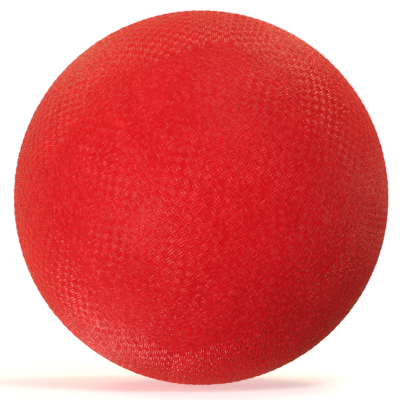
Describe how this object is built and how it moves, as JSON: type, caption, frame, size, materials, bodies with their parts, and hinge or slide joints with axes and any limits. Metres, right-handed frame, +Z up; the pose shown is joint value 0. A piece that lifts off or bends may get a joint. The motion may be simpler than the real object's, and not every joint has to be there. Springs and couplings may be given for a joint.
{
  "type": "playground rubber ball",
  "caption": "Hollow inflated rubber ball with a basket-weave moulded skin, layered wall and a flush push-in valve for a pump needle.",
  "frame": {"origin": "centre of the inflated ball", "axes": "+Z up, +Y outwards along the valve's axis; the cover's parting line lies in the XZ plane"},
  "size_m": [0.216, 0.216, 0.216],
  "materials": {
    "cover_rubber": "satin moulded rubber with a basket-weave relief",
    "ply_rubber": "matt calendered natural rubber",
    "nylon_thread": "latex-dipped nylon thread",
    "butyl_rubber": "smooth black butyl",
    "rubberised_cloth": "matt rubber-proofed cotton",
    "valve_rubber": "smooth moulded black rubber",
    "plug_rubber": "soft black butyl, silicone oiled"
  },
  "bodies": {
    "ball": {"cover_front_half": "cover_rubber", "cover_valve_half": "cover_rubber", "inner_ply": "ply_rubber", "thread_winding": "nylon_thread", "bladder": "butyl_rubber", "valve_patch": "rubberised_cloth", "valve_housing": "valve_rubber"},
    "plug": {"valve_plug": "plug_rubber"}
  },
  "joints": [
    {"name": "valve_plug_slide", "type": "slide", "parent": "ball", "child": "plug", "axis": [0, 1, 0], "range_m": [0, 0.03]}
  ]
}
